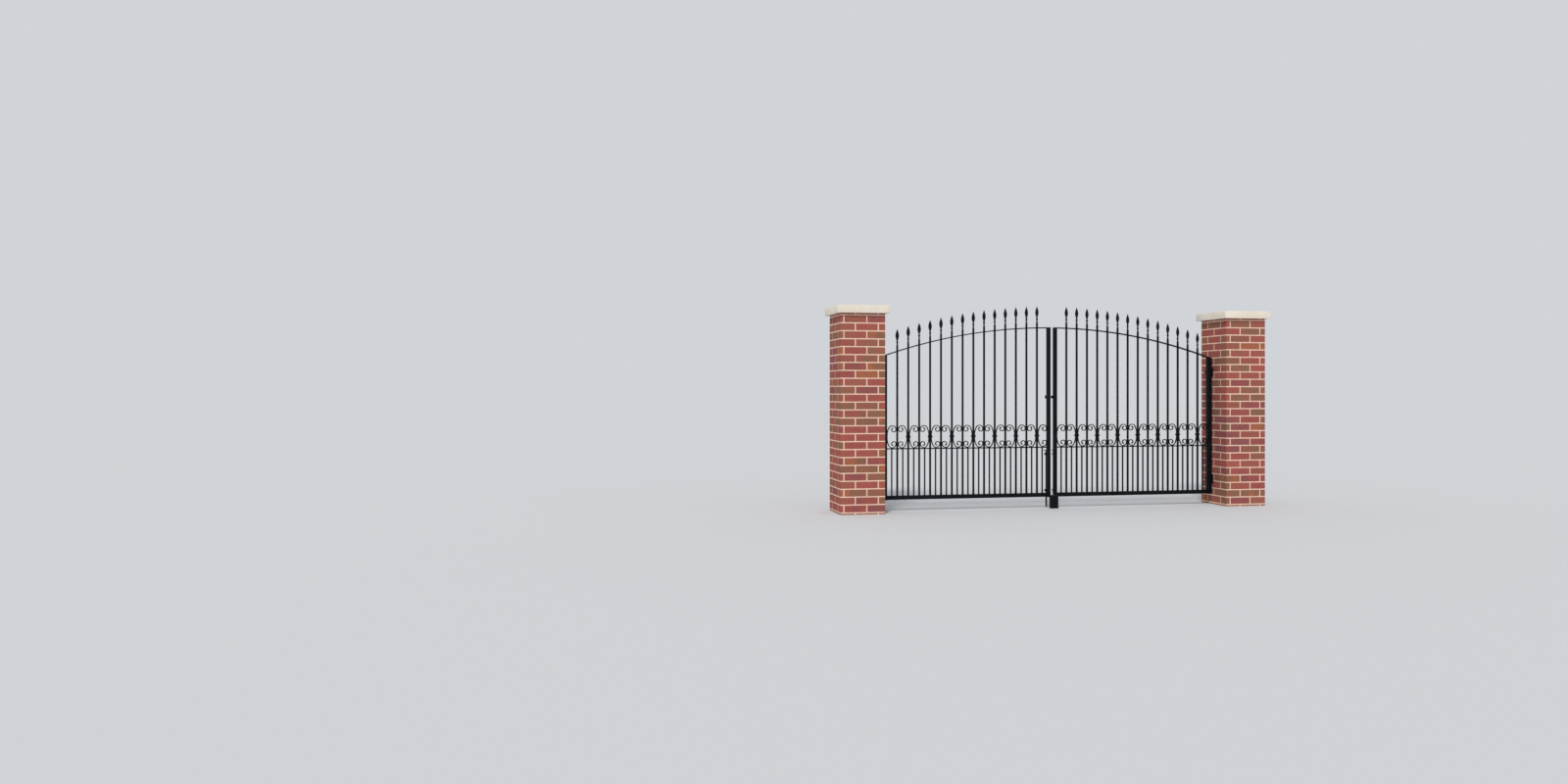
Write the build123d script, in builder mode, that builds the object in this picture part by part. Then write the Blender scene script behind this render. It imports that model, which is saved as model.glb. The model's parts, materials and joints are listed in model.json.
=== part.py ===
"""Wrought iron driveway gate: two arched leaves hung between two brick piers.

Millimetres. The origin is the middle of the left pier's foot. +X runs along the wall to the
right pier, +Y runs in from the street, +Z is up. The leaves stand in the plane y = 0, and
they open in from the street.
"""
import math
import os

from build123d import *

# Brickwork: courses of 225 x 75, mortar included
pier_side = 440.0
course_height = 75.0
pier_courses = 25.5
opening_width = 3600.0

# Flat stone caps
cap_overhang = 38.0
cap_thickness = 75.0
cap_edge_chamfer = 4.0
drip_width = 8.0
drip_depth = 6.0
drip_inset = 14.0

# Leaf frame
hinge_gap = 30.0
meeting_gap = 38.0
frame_depth = 40.0
hinge_stile_width = 48.0
meeting_stile_width = 32.0
stile_foot = 109.0
bottom_rail_foot = 113.0
bottom_rail_height = 38.0
mid_rail_height = 604.0
mid_rail_thickness = 10.0

# Arched top rail, a flat bar bent to one arc over both leaves
arch_radius = 5400.0
arch_crown = 1807.0
arch_thickness = 10.0

# Upright bars
bar_pitch = 112.0
spear_bar = 16.0
dog_bar = 12.0
punch_clearance = 0.2
seat_gap = 0.2

# Cast spear heads
head_rise = 217.0
blade_length = 113.0
blade_width = 36.5
blade_depth = 19.0
neck_width = 12.0
ball_radius = 11.0
ball_drop = 19.0
ball_shoulder = 8.0
socket_height = 13.0
shank_length = 52.0
# Up the blade from its foot to its tip, and its width there, as shares of the whole
blade_outline = [(0.0, 0.33), (0.13, 0.47), (0.30, 0.84), (0.44, 1.0), (0.62, 0.78), (1.0, 0.05)]

# C scrolls and the collars that bind them to the bars
scroll_thickness = 8.0
scroll_depth = 14.0
scroll_height = 224.0
scroll_back_straight = 12.0
scroll_back_lean = 28.5
scroll_curl_radius = 22.5
scroll_eye_radius = 13.0
scroll_eye_turn = 105.0
scroll_end_radius = 6.0
scroll_end_corners = 3
scroll_flat_turn = 45.0
collar_wall = 4.0
collar_height = 21.0
collar_play = 0.5

# Hinges
hinge_axis_from_pier = 25.0
hinge_axis_behind = 45.0
lower_hinge_rise = 154.0
upper_hinge_drop = 133.5
pin_radius = 8.0
pin_clearance = 0.5
eye_wall = 5.5
eye_height = 26.0
eye_strap_depth = 14.0
eye_strap_height = 14.0
eye_strap_end = 7.0
bracket_plate = 6.0
bracket_width = 70.0
bracket_height = 90.0
bracket_arm_height = 12.0
bracket_arm_radius = 12.0
pin_stand = 6.0
lug_width = 24.0
lug_height = 26.0
lug_wall = 5.0

# Sliding bolts: a drop bolt on each meeting stile, and one latch bolt between the leaves
bolt_radius = 8.0
bolt_clearance = 0.5
bolt_behind = 35.0
lever_thickness = 8.0
lever_width = 18.0
drop_bolt_offset = 42.0
drop_bolt_tip = 10.0
drop_lever_rise = 16.0
drop_lever_reach = 46.0
drop_collar_radius = 12.0
drop_collar_height = 6.0
drop_collar_gap = 0.3
guide_width = 30.0
guide_depth = 30.0
guide_height = 20.0
lower_guide_height = 174.0
upper_guide_height = 538.0
latch_height = 1113.0
latch_nose = -11.0
latch_tail = 72.5
latch_guide_width = 20.0
latch_guide_height = 30.0
latch_lever_reach = 52.0
keep_wall = 6.0
keep_room = 2.0

# Centre stop in the ground, on the street side of the leaves
stop_width = 75.0
stop_depth = 50.0
stop_height = 132.0
stop_clearance = 5.5
stop_chamfer = 5.0

# Forged octagons stand with flats to the front and sides
octagon_sides = 8
octagon_turn = 180 / octagon_sides

# Worked out from the sizes above
pier_height = pier_courses * course_height
pier_centres = opening_width + pier_side
centre_x = pier_centres / 2
leaf_width = (opening_width - 2 * hinge_gap - meeting_gap) / 2
frame_clear = leaf_width - hinge_stile_width - meeting_stile_width
bars_per_leaf = round(frame_clear / bar_pitch) - 1
end_bay = (frame_clear - (bars_per_leaf - 1) * bar_pitch) / 2
arch_centre_z = arch_crown - arch_radius
frame_back = frame_depth / 2
bottom_rail_top = bottom_rail_foot + bottom_rail_height
mid_rail_top = mid_rail_height + mid_rail_thickness
scroll_middle = mid_rail_top + seat_gap + scroll_height / 2

os.makedirs("parts", exist_ok=True)


def keep(piece, name):
    """Label a finished piece and write its STEP file."""
    piece.part.label = name
    export_step(piece.part, f"parts/{name}.step")


def arch_height(x, offset=0.0):
    """Height of the arch over x, on the arc that lies offset outside its middle line."""
    return arch_centre_z + math.sqrt((arch_radius + offset) ** 2 - (x - centre_x) ** 2)


def across(side, distance):
    """The x that lies a distance from a pier's inner face: side 1 is left, -1 is right."""
    return centre_x - side * (opening_width / 2 - distance)


def bar_distances():
    """Distances of a leaf's spear bars from its pier's inner face."""
    first = hinge_gap + hinge_stile_width + end_bay
    return [first + number * bar_pitch for number in range(bars_per_leaf)]


def make_pier(name, x):
    """A plain brick pier with its foot on the ground."""
    with BuildPart() as pier:
        with BuildSketch():
            with Locations((x, 0)):
                Rectangle(pier_side, pier_side)
        extrude(amount=pier_height)
    keep(pier, name)


def make_cap(name, x):
    """A flat stone cap with a drip groove cut round its underside."""
    cap_side = pier_side + 2 * cap_overhang
    groove_side = cap_side - 2 * drip_inset
    with BuildPart() as cap:
        with BuildSketch(Plane.XY.offset(pier_height)):
            with Locations((x, 0)):
                Rectangle(cap_side, cap_side)
        extrude(amount=cap_thickness)
        chamfer(cap.faces().sort_by(Axis.Z)[-1].edges(), cap_edge_chamfer)
        with BuildSketch(Plane.XY.offset(pier_height)):
            with Locations((x, 0)):
                Rectangle(groove_side, groove_side)
                Rectangle(groove_side - 2 * drip_width, groove_side - 2 * drip_width, mode=Mode.SUBTRACT)
        extrude(amount=drip_depth, mode=Mode.SUBTRACT)
    keep(cap, name)


def make_stop():
    """The steel block in the ground that both leaves close against."""
    with BuildPart() as stop:
        with BuildSketch():
            with Locations((centre_x, -frame_back - stop_clearance - stop_depth / 2)):
                Rectangle(stop_width, stop_depth)
        extrude(amount=stop_height)
        chamfer(stop.faces().sort_by(Axis.Z)[-1].edges(), stop_chamfer)
    keep(stop, "gate_stop")


def make_bracket(name, side, z):
    """A wall plate whose arm carries an upright hinge pin; z is the middle of the eye."""
    face_x = across(side, 0)
    axis_x = across(side, hinge_axis_from_pier)
    arm_top = z - eye_height / 2 - seat_gap
    arm_width = 2 * bracket_arm_radius * math.cos(math.radians(octagon_turn))
    with BuildPart() as bracket:
        with Locations((face_x + side * bracket_plate / 2, hinge_axis_behind, z)):
            Box(bracket_plate, bracket_width, bracket_height)
        with BuildSketch(Plane.XY.offset(arm_top - bracket_arm_height)):
            with Locations(((face_x + axis_x) / 2, hinge_axis_behind)):
                Rectangle(hinge_axis_from_pier, arm_width)
            with Locations((axis_x, hinge_axis_behind)):
                RegularPolygon(bracket_arm_radius, octagon_sides, rotation=octagon_turn)
        extrude(amount=bracket_arm_height)
        with BuildSketch(Plane.XY.offset(arm_top)):
            with Locations((axis_x, hinge_axis_behind)):
                Circle(pin_radius)
        extrude(amount=eye_height + 2 * seat_gap + pin_stand)
    keep(bracket, name)


def make_eye(name, side, z):
    """The eye that turns on a hinge pin, its square bar, and the lug that holds it to the stile."""
    axis_x = across(side, hinge_axis_from_pier)
    strap_end = hinge_gap + hinge_stile_width - eye_strap_end
    strap_start = hinge_axis_from_pier + pin_radius + pin_clearance
    lug_x = across(side, hinge_gap + hinge_stile_width / 2)
    lug_back = hinge_axis_behind + eye_strap_depth / 2 + lug_wall
    eye_radius = pin_radius + pin_clearance + eye_wall
    with BuildPart() as eye:
        with BuildSketch(Plane.XY.offset(z - eye_height / 2)):
            with Locations((axis_x, hinge_axis_behind)):
                RegularPolygon(eye_radius, octagon_sides, rotation=octagon_turn)
        extrude(amount=eye_height)
        with Locations((across(side, (strap_start + strap_end) / 2), hinge_axis_behind, z)):
            Box(strap_end - strap_start, eye_strap_depth, eye_strap_height)
        with Locations((lug_x, (frame_back + lug_back) / 2, z)):
            Box(lug_width, lug_back - frame_back, lug_height)
        with BuildSketch(Plane.XY.offset(z - eye_height)):
            with Locations((axis_x, hinge_axis_behind)):
                Circle(pin_radius + pin_clearance)
        extrude(amount=2 * eye_height, mode=Mode.SUBTRACT)
    keep(eye, name)


def make_stile(name, near_x, far_x):
    """An upright of the frame, cut off just under the arched rail."""
    under = -arch_thickness / 2 - seat_gap
    with BuildPart() as stile:
        with BuildSketch(Plane.XZ):
            with BuildLine():
                Polyline(
                    (near_x, stile_foot),
                    (far_x, stile_foot),
                    (far_x, arch_height(far_x, under)),
                    (near_x, arch_height(near_x, under)),
                    close=True,
                )
            make_face()
        extrude(amount=frame_depth / 2, both=True)
    keep(stile, name)


def make_arched_rail(name, start_x, end_x, bar_xs):
    """The bent flat bar that caps a leaf, punched for its spear bars."""
    outer = arch_thickness / 2
    middle_x = (start_x + end_x) / 2
    top = [(x, arch_height(x, outer)) for x in (start_x, middle_x, end_x)]
    under = [(x, arch_height(x, -outer)) for x in (end_x, middle_x, start_x)]
    hole = spear_bar + 2 * punch_clearance
    lowest = arch_height(max(start_x, end_x, key=lambda x: abs(x - centre_x)), -outer)
    with BuildPart() as rail:
        with BuildSketch(Plane.XZ):
            with BuildLine():
                ThreePointArc(*top)
                Line(top[-1], under[0])
                ThreePointArc(*under)
                Line(under[-1], top[0])
            make_face()
        extrude(amount=frame_depth / 2, both=True)
        with BuildSketch(Plane.XY.offset(lowest)):
            with Locations([(x, 0) for x in bar_xs]):
                Rectangle(hole, hole)
        extrude(amount=arch_crown, mode=Mode.SUBTRACT)
    keep(rail, name)


def make_mid_rail(name, start_x, end_x, bar_xs):
    """The thin flat rail over the dog bars, punched for the spear bars."""
    hole = spear_bar + 2 * punch_clearance
    with BuildPart() as rail:
        with BuildSketch(Plane.XY.offset(mid_rail_height)):
            with Locations(((start_x + end_x) / 2, 0)):
                Rectangle(abs(end_x - start_x), frame_depth)
            with Locations([(x, 0) for x in bar_xs]):
                Rectangle(hole, hole, mode=Mode.SUBTRACT)
        extrude(amount=mid_rail_thickness)
    keep(rail, name)


def make_bottom_rail(name, start_x, end_x):
    """The box rail that the uprights stand on."""
    with BuildPart() as rail:
        with Locations(((start_x + end_x) / 2, 0, bottom_rail_foot + bottom_rail_height / 2)):
            Box(abs(end_x - start_x), frame_depth, bottom_rail_height)
    keep(rail, name)


def head_foot(x):
    """Height at which the spear head over x stands on its bar."""
    return arch_height(x) + head_rise - blade_length - shank_length


def make_spear_bars(name, bar_xs):
    """Square bars that run through both rails up to the spear heads."""
    with BuildPart() as bars:
        for x in bar_xs:
            with BuildSketch(Plane.XY.offset(bottom_rail_top)):
                with Locations((x, 0)):
                    Rectangle(spear_bar, spear_bar)
            extrude(amount=head_foot(x) - bottom_rail_top)
    keep(bars, name)


def make_dog_bars(name, xs):
    """Thinner square bars between the spear bars, under the mid rail."""
    with BuildPart() as bars:
        with BuildSketch(Plane.XY.offset(bottom_rail_top)):
            with Locations([(x, 0) for x in xs]):
                Rectangle(dog_bar, dog_bar)
        extrude(amount=mid_rail_height - bottom_rail_top)
    keep(bars, name)


def crossed(sections, headings):
    """A flat-sided body that shows the same outline square to each heading, in degrees.

    sections lists heights and, for each, how far the flats stand from the middle.
    """
    right = [(flat, height) for height, flat in sections]
    left = [(-flat, height) for height, flat in reversed(sections)]
    with BuildPart() as body:
        for number, heading in enumerate(headings):
            turn = math.radians(heading)
            place = Plane(
                origin=(0, 0, 0),
                x_dir=(-math.sin(turn), math.cos(turn), 0),
                z_dir=(math.cos(turn), math.sin(turn), 0),
            )
            with BuildSketch(place):
                with BuildLine():
                    Polyline(*right, *left, close=True)
                make_face()
            extrude(amount=blade_width, both=True, mode=Mode.INTERSECT if number else Mode.ADD)
    return body.part


def make_spear_heads(name, bar_xs):
    """Cast heads: a ridged blade on an octagonal shank with a ball."""
    neck = neck_width / 2
    ball = shank_length - ball_drop
    shank = crossed(
        [
            (0.0, spear_bar / 2),
            (socket_height, neck),
            (ball - ball_shoulder, neck),
            (ball, ball_radius),
            (ball + ball_shoulder, neck),
            (shank_length, neck),
        ],
        [number * 2 * octagon_turn for number in range(octagon_sides // 2)],
    )
    # The blade's section is a diamond of one shape all the way up
    ridge = math.degrees(math.atan2(blade_depth, blade_width))
    widest = blade_width / 2 * math.sin(math.radians(ridge))
    blade = crossed(
        [(shank_length + along * blade_length, share * widest) for along, share in blade_outline],
        [ridge, -ridge],
    )
    with BuildPart() as heads:
        with Locations([(x, 0, head_foot(x)) for x in bar_xs]):
            add(shank)
            add(blade)
    keep(heads, name)


def scroll_radii(width, height):
    """Radii of a scroll's arch and of its bowed back, so that each runs smoothly into the other."""
    # Width: bow (1 - cos) + arch (1 + cos). Height: bow sin + arch (1 - sin).
    lean = math.radians(scroll_back_lean)
    sine, cosine = math.sin(lean), math.cos(lean)
    arch = (height * (1 - cosine) - width * sine) / ((1 - sine) * (1 - cosine) - (1 + cosine) * sine)
    bow = (width - arch * (1 + cosine)) / (1 - cosine)
    return arch, bow


def scroll_side(back, reach, offset):
    """One side of the upper half of a scroll's bar, from its back to its eye, in short flats.

    back and reach are the middle line's ends in width. offset is how far the side lies outside it.
    """
    crown = (scroll_height - scroll_thickness) / 2
    arch, bow = scroll_radii(reach - back, crown - scroll_back_straight)
    hub = crown - arch
    curl_x = reach - scroll_curl_radius
    eye_x = curl_x - scroll_curl_radius + scroll_eye_radius
    arcs = [
        (back + bow, scroll_back_straight, bow, 180, 180 - scroll_back_lean),
        (reach - arch, hub, arch, 180 - scroll_back_lean, 90),
        (reach - arch, hub, arch, 90, 0),
        (curl_x, hub, scroll_curl_radius, 0, -180),
        (eye_x, hub, scroll_eye_radius, -180, -180 - scroll_eye_turn),
    ]
    points = []
    for x, y, radius, start, end in arcs:
        flats = math.ceil(abs(end - start) / scroll_flat_turn)
        angles = [math.radians(start + (end - start) * step / flats) for step in range(flats + 1)]
        out = radius + offset
        points = points[:-1] + [(x + out * math.cos(a), y + out * math.sin(a)) for a in angles]
    return points


def scroll_outline(back_face, curl_face):
    """A whole C scroll that bulges from one upright's face to the next, about y = 0."""
    bay = abs(curl_face - back_face)
    hand = 1 if curl_face > back_face else -1
    half = scroll_thickness / 2
    back = seat_gap + half
    reach = bay - seat_gap - half
    outer = scroll_side(back, reach, half)
    inner = scroll_side(back, reach, -half)
    # The end swells into a small bulb about the middle of the bar's last section
    (outer_x, outer_y), (inner_x, inner_y) = outer[-1], inner[-1]
    middle = ((outer_x + inner_x) / 2, (outer_y + inner_y) / 2)
    facing = math.atan2(outer_y - inner_y, outer_x - inner_x)
    bulb = []
    for corner in range(scroll_end_corners):
        angle = facing - math.pi * (corner + 0.5) / scroll_end_corners
        bulb.append((
            middle[0] + scroll_end_radius * math.cos(angle),
            middle[1] + scroll_end_radius * math.sin(angle),
        ))
    upper = outer + bulb + inner[::-1]
    whole = upper + [(x, -y) for x, y in upper[::-1]]
    return [(back_face + hand * x, y) for x, y in whole]


def make_scrolls(name, faces, middle):
    """A C scroll in each bay: its back on one upright, its curls on the next, by turns.

    faces lists each bay's two side faces from left to right.
    """
    with BuildPart() as scrolls:
        with BuildSketch(Plane.XZ.shift_origin((0, 0, middle))):
            for number, (left, right) in enumerate(faces):
                back_face, curl_face = (left, right) if number % 2 == 0 else (right, left)
                with BuildLine():
                    Polyline(*scroll_outline(back_face, curl_face), close=True)
                make_face()
        extrude(amount=scroll_depth / 2, both=True)
    keep(scrolls, name)


def make_collars(name, bar_xs, middle):
    """Square bands that bind a bar and the scroll backs beside it."""
    inner_width = spear_bar + 2 * (scroll_thickness + 2 * seat_gap + collar_play)
    inner_depth = spear_bar + 2 * seat_gap
    with BuildPart() as collars:
        with BuildSketch(Plane.XY.offset(middle - collar_height / 2)):
            with Locations([(x, 0) for x in bar_xs]):
                Rectangle(inner_width + 2 * collar_wall, inner_depth + 2 * collar_wall)
                Rectangle(inner_width, inner_depth, mode=Mode.SUBTRACT)
        extrude(amount=collar_height)
    keep(collars, name)


def make_drop_bolt(side_name, side):
    """An upright bolt with a flat lever and a collar that rests on the upper of its two guides."""
    x = centre_x - side * drop_bolt_offset
    collar_foot = upper_guide_height + guide_height / 2 + drop_collar_gap
    lever_foot = collar_foot + drop_collar_height + drop_lever_rise
    lever_start = bolt_behind - lever_width / 2
    with BuildPart() as guides:
        for z in (lower_guide_height, upper_guide_height):
            with Locations((x, frame_back + guide_depth / 2, z)):
                Box(guide_width, guide_depth, guide_height)
            with Locations((x, bolt_behind, z)):
                Cylinder(bolt_radius + bolt_clearance, guide_height, mode=Mode.SUBTRACT)
    keep(guides, f"{side_name}_drop_bolt_guides")

    with BuildPart() as bolt:
        with BuildSketch(Plane.XY.offset(drop_bolt_tip)):
            with Locations((x, bolt_behind)):
                Circle(bolt_radius)
        extrude(amount=lever_foot - drop_bolt_tip)
        with Locations((x, bolt_behind, collar_foot + drop_collar_height / 2)):
            Cylinder(drop_collar_radius, drop_collar_height)
        with Locations((x, lever_start + drop_lever_reach / 2, lever_foot + lever_thickness / 2)):
            Box(lever_width, drop_lever_reach, lever_thickness)
    keep(bolt, f"{side_name}_drop_bolt")


def make_latch():
    """The latch bolt, its guide on the right stile and its keep on the left stile."""
    guide_x = centre_x + meeting_gap / 2 + latch_guide_width / 2
    keep_x = centre_x - meeting_gap / 2 - meeting_stile_width / 2
    with BuildPart() as guide:
        with Locations((guide_x, frame_back + guide_depth / 2, latch_height)):
            Box(latch_guide_width, guide_depth, latch_guide_height)
        with Locations(Location((guide_x, bolt_behind, latch_height), (0, 90, 0))):
            Cylinder(bolt_radius + bolt_clearance, latch_guide_width, mode=Mode.SUBTRACT)
    keep(guide, "latch_guide")

    room = bolt_radius + keep_room
    with BuildPart() as staple:
        with Locations((keep_x, (frame_back + bolt_behind + room + keep_wall) / 2, latch_height)):
            Box(guide_width, bolt_behind + room + keep_wall - frame_back, 2 * (room + keep_wall))
        with Locations((keep_x, (frame_back + bolt_behind + room) / 2, latch_height)):
            Box(guide_width, bolt_behind + room - frame_back, 2 * room, mode=Mode.SUBTRACT)
    keep(staple, "latch_keep")

    nose_x = centre_x + latch_nose
    lever_x = centre_x + latch_tail - lever_thickness
    lever_top = latch_height + lever_width / 2
    with BuildPart() as bolt:
        with BuildSketch(Plane.YZ.offset(nose_x)):
            with Locations((bolt_behind, latch_height)):
                Circle(bolt_radius)
        extrude(amount=lever_x - nose_x)
        with Locations((lever_x + lever_thickness / 2, bolt_behind, lever_top - latch_lever_reach / 2)):
            Box(lever_thickness, lever_width, latch_lever_reach)
    keep(bolt, "latch_bolt")


def make_leaf(side_name, side):
    """Every piece of one leaf. Its bays are counted from the street's left on both leaves."""
    pier_stile = (across(side, hinge_gap), across(side, hinge_gap + hinge_stile_width))
    meeting_stile = (
        across(side, hinge_gap + leaf_width - meeting_stile_width),
        across(side, hinge_gap + leaf_width),
    )
    bar_xs = sorted(across(side, distance) for distance in bar_distances())
    inside = sorted((pier_stile[1], meeting_stile[0]))
    outside = sorted((pier_stile[0], meeting_stile[1]))
    half = spear_bar / 2
    lefts = [inside[0]] + [x + half for x in bar_xs]
    rights = [x - half for x in bar_xs] + [inside[1]]
    dog_xs = [x - bar_pitch / 2 for x in bar_xs] + [bar_xs[-1] + bar_pitch / 2]

    make_stile(f"{side_name}_hinge_stile", *pier_stile)
    make_stile(f"{side_name}_meeting_stile", *meeting_stile)
    make_arched_rail(f"{side_name}_arched_rail", *outside, bar_xs)
    make_mid_rail(f"{side_name}_mid_rail", *inside, bar_xs)
    make_bottom_rail(f"{side_name}_bottom_rail", *inside)
    make_spear_bars(f"{side_name}_spear_bars", bar_xs)
    make_spear_heads(f"{side_name}_spear_heads", bar_xs)
    make_dog_bars(f"{side_name}_dog_bars", dog_xs)
    make_scrolls(f"{side_name}_scrolls", list(zip(lefts, rights)), scroll_middle)
    make_collars(f"{side_name}_collars", bar_xs[1::2], scroll_middle)
    stile_top = arch_height(pier_stile[0], -arch_thickness / 2)
    make_hinges(side_name, side, stile_foot + lower_hinge_rise, stile_top - upper_hinge_drop)
    make_drop_bolt(side_name, side)


def make_hinges(side_name, side, lower, upper):
    """The two hinges of a leaf: a bracket on the pier and an eye on the stile for each."""
    for place, z in (("lower", lower), ("upper", upper)):
        make_bracket(f"{side_name}_{place}_hinge_bracket", side, z)
        make_eye(f"{side_name}_{place}_hinge_eye", side, z)


for side_name, side in (("left", 1), ("right", -1)):
    pier_x = across(side, -pier_side / 2)
    make_pier(f"{side_name}_pier", pier_x)
    make_cap(f"{side_name}_pier_cap", pier_x)
    make_leaf(side_name, side)
make_latch()
make_stop()
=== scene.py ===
"""The looks of a wrought iron driveway gate hung between two brick piers.

Metres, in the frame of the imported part: +X runs along the shut gate, +Y in behind it, +Z up.
"""
import json
import math

import bmesh
import bpy
from mathutils import Matrix, Vector


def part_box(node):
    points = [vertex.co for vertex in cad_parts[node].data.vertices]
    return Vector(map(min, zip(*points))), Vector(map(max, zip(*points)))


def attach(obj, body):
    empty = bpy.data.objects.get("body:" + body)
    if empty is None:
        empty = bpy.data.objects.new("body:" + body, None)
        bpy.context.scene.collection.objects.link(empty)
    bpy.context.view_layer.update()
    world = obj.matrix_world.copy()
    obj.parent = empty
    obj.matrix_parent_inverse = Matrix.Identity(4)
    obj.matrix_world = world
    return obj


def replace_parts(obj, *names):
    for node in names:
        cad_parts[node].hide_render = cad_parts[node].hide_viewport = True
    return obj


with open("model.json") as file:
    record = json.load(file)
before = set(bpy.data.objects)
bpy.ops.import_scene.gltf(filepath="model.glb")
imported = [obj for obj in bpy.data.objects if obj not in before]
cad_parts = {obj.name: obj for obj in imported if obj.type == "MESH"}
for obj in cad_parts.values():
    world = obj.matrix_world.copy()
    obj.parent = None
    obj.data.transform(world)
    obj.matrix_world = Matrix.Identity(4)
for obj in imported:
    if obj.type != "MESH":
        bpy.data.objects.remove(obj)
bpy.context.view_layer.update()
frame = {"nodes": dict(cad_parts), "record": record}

# The photograph's viewpoint: a level camera in front of the gate, to its left
camera_place = (-2.669, -9.998, 1.163)
camera_turn = 11.03
camera_lens = 24.47
camera_sensor = 36.0

# The stage: a pale floor that runs into a pale backdrop, an even light and a soft sun
floor_colour = (215, 214, 213)
floor_roughness = 0.9
floor_radius = 90.0
floor_sides = 64
backdrop_colour = (208, 211, 215)
ambient_colour = (0.86, 0.91, 1.0, 1.0)
ambient_strength = 0.6
sun_strength = 1.9
sun_spread = 12.0
sun_way = (0.45, 0.85, -0.85)

# Brickwork: a stretcher bond; each pier's first upright joint is measured from its left face
brick_length = 0.215
brick_height = 0.065
joint = 0.010
brick_pitch = brick_length + joint
course_rise = brick_height + joint
first_bed = 0.0182
first_upright = {"left": 0.0337, "right": 0.0442}
joint_recess = 0.0018
brick_edge = 0.0022
brick_edge_steps = 2
brick_edge_fullness = 0.6
brick_wear = 0.0011
brick_wear_grain = 60.0
uneven_share = 0.6
smallest_cut = 0.015
mortar_wear = 0.0008
mortar_grain = 40.0
mortar_lifts = 3
mortar_cuts = 5
seed_step = 10

# Cast spear heads: a socket on the bar, a ball between two necks, and a ridged blade
head_height = 0.165
socket_height = 0.022
socket_half = 0.0084
neck_half = 0.0070
ball_height = 0.0368
ball_half = 0.0117
ball_rise = 0.0092
blade_foot = 0.049
blade_half = 0.01825
blade_deep = 0.0095
blade_neck_share = 0.385
blade_widest = 0.45
blade_shoulder = 1.6
blade_point = 1.6
blade_tip_share = 0.03
ridge_run = 0.14
ridge_sharpness = 0.85
circle_power = 2.0
head_rings = 64
head_sides = 24

# C scrolls of flat bar, whose ends are forged into small round snubs
scroll_width = 0.008
scroll_depth = 0.014
scroll_edge = 0.0014
scroll_edge_steps = 2
scroll_straight = 0.012
scroll_lean = 28.5
scroll_curl = 0.0225
scroll_eye = 0.013
scroll_eye_turn = 105.0
scroll_step = 6.5
scroll_chord = 0.005
scroll_seat = 0.0002
snub_half = 0.0066
snub_tip_share = 0.3
tack_length = 0.014

# Rounded edges of rolled bar, box section and forged fittings, where faces meet at over edge_angle
bar_edge = 0.0008
frame_edge = 0.0022
fitting_edge = 0.0012
collar_edge = 0.0029
stone_edge = 0.0016
edge_angle = 30.0
edge_steps = 3
edge_fullness = 0.5
flat_angle = 0.5
merge_distance = 0.00001

# Weld beads at the bars' feet, the rails' ends, the scrolls' curls and the fittings
bead_radius = 0.0019
bead_step = 0.002
bead_sides = 6
bead_ripple = 0.0009
bead_grain = 330.0
side_digits = 5
side_slack = 0.001
back_slack = 0.0005
fitting_gap = 0.05

# The hinge brackets' hexagon bolts on their washers
bracket_plate = 0.006
anchor_head = 0.0075
anchor_head_sides = 6
anchor_height = 0.0055
anchor_chamfer = 0.0012
anchor_crown = 0.82
anchor_washer = 0.011
washer_sides = 24
washer_thickness = 0.0016
anchor_inset = 0.012

leaves = ("left", "right")


class Wire:
    """An output socket. Sums and products with wires or numbers add Math nodes to its tree."""

    def __init__(self, tree, socket):
        self.tree = tree
        self.socket = socket

    def __add__(self, other):
        return self.tree.math("ADD", self, other)

    def __radd__(self, other):
        return self.tree.math("ADD", other, self)

    def __sub__(self, other):
        return self.tree.math("SUBTRACT", self, other)

    def __rsub__(self, other):
        return self.tree.math("SUBTRACT", other, self)

    def __mul__(self, other):
        return self.tree.math("MULTIPLY", self, other)

    def __rmul__(self, other):
        return self.tree.math("MULTIPLY", other, self)

    def above(self, low, high):
        """How far the value is from low to high, as a smooth step from 0 to 1."""
        inputs = {"Value": self, "From Min": low, "From Max": high}
        return self.tree.node("ShaderNodeMapRange", {"interpolation_type": "SMOOTHSTEP"}, inputs)


class Tree:
    """A node tree that is built by one method: a node's type, its settings, then its sockets."""

    def __init__(self, tree):
        self.tree = tree

    def node(self, kind, settings=None, inputs=None, output=0):
        """Make a node and give back the wire of one of its outputs, if it has any."""
        made = self.tree.nodes.new(kind)
        for name, value in (settings or {}).items():
            if name == "stops":
                self.set_stops(made.color_ramp, value)
            else:
                setattr(made, name, value)
        for name, value in (inputs or {}).items():
            self.feed(made.inputs[name], value)
        return Wire(self, made.outputs[output]) if made.outputs else None

    def feed(self, socket, value):
        """Link a wire to a socket, or set the socket to a plain value."""
        if isinstance(value, Wire):
            self.tree.links.new(value.socket, socket)
        else:
            socket.default_value = value

    def set_stops(self, ramp, stops):
        """Give a colour ramp its places and colours."""
        while len(ramp.elements) < len(stops):
            ramp.elements.new(1.0)
        for element, (place, colour) in zip(ramp.elements, stops):
            element.position = place
            element.color = colour

    def math(self, operation, *values):
        """One sum, product or the like on wires or numbers."""
        return self.node("ShaderNodeMath", {"operation": operation}, dict(enumerate(values)))

    def scaled(self, vector, factor):
        """A vector made longer or shorter by a wire or a number."""
        return self.node("ShaderNodeVectorMath", {"operation": "SCALE"}, {0: vector, "Scale": factor})

    def noise(self, vector, scale, detail=2.0, roughness=0.5):
        """Smooth noise round 0.5, with about as many grains to the metre as the scale."""
        inputs = {"Vector": vector, "Scale": scale, "Detail": detail, "Roughness": roughness}
        return self.node("ShaderNodeTexNoise", {}, inputs)


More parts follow.
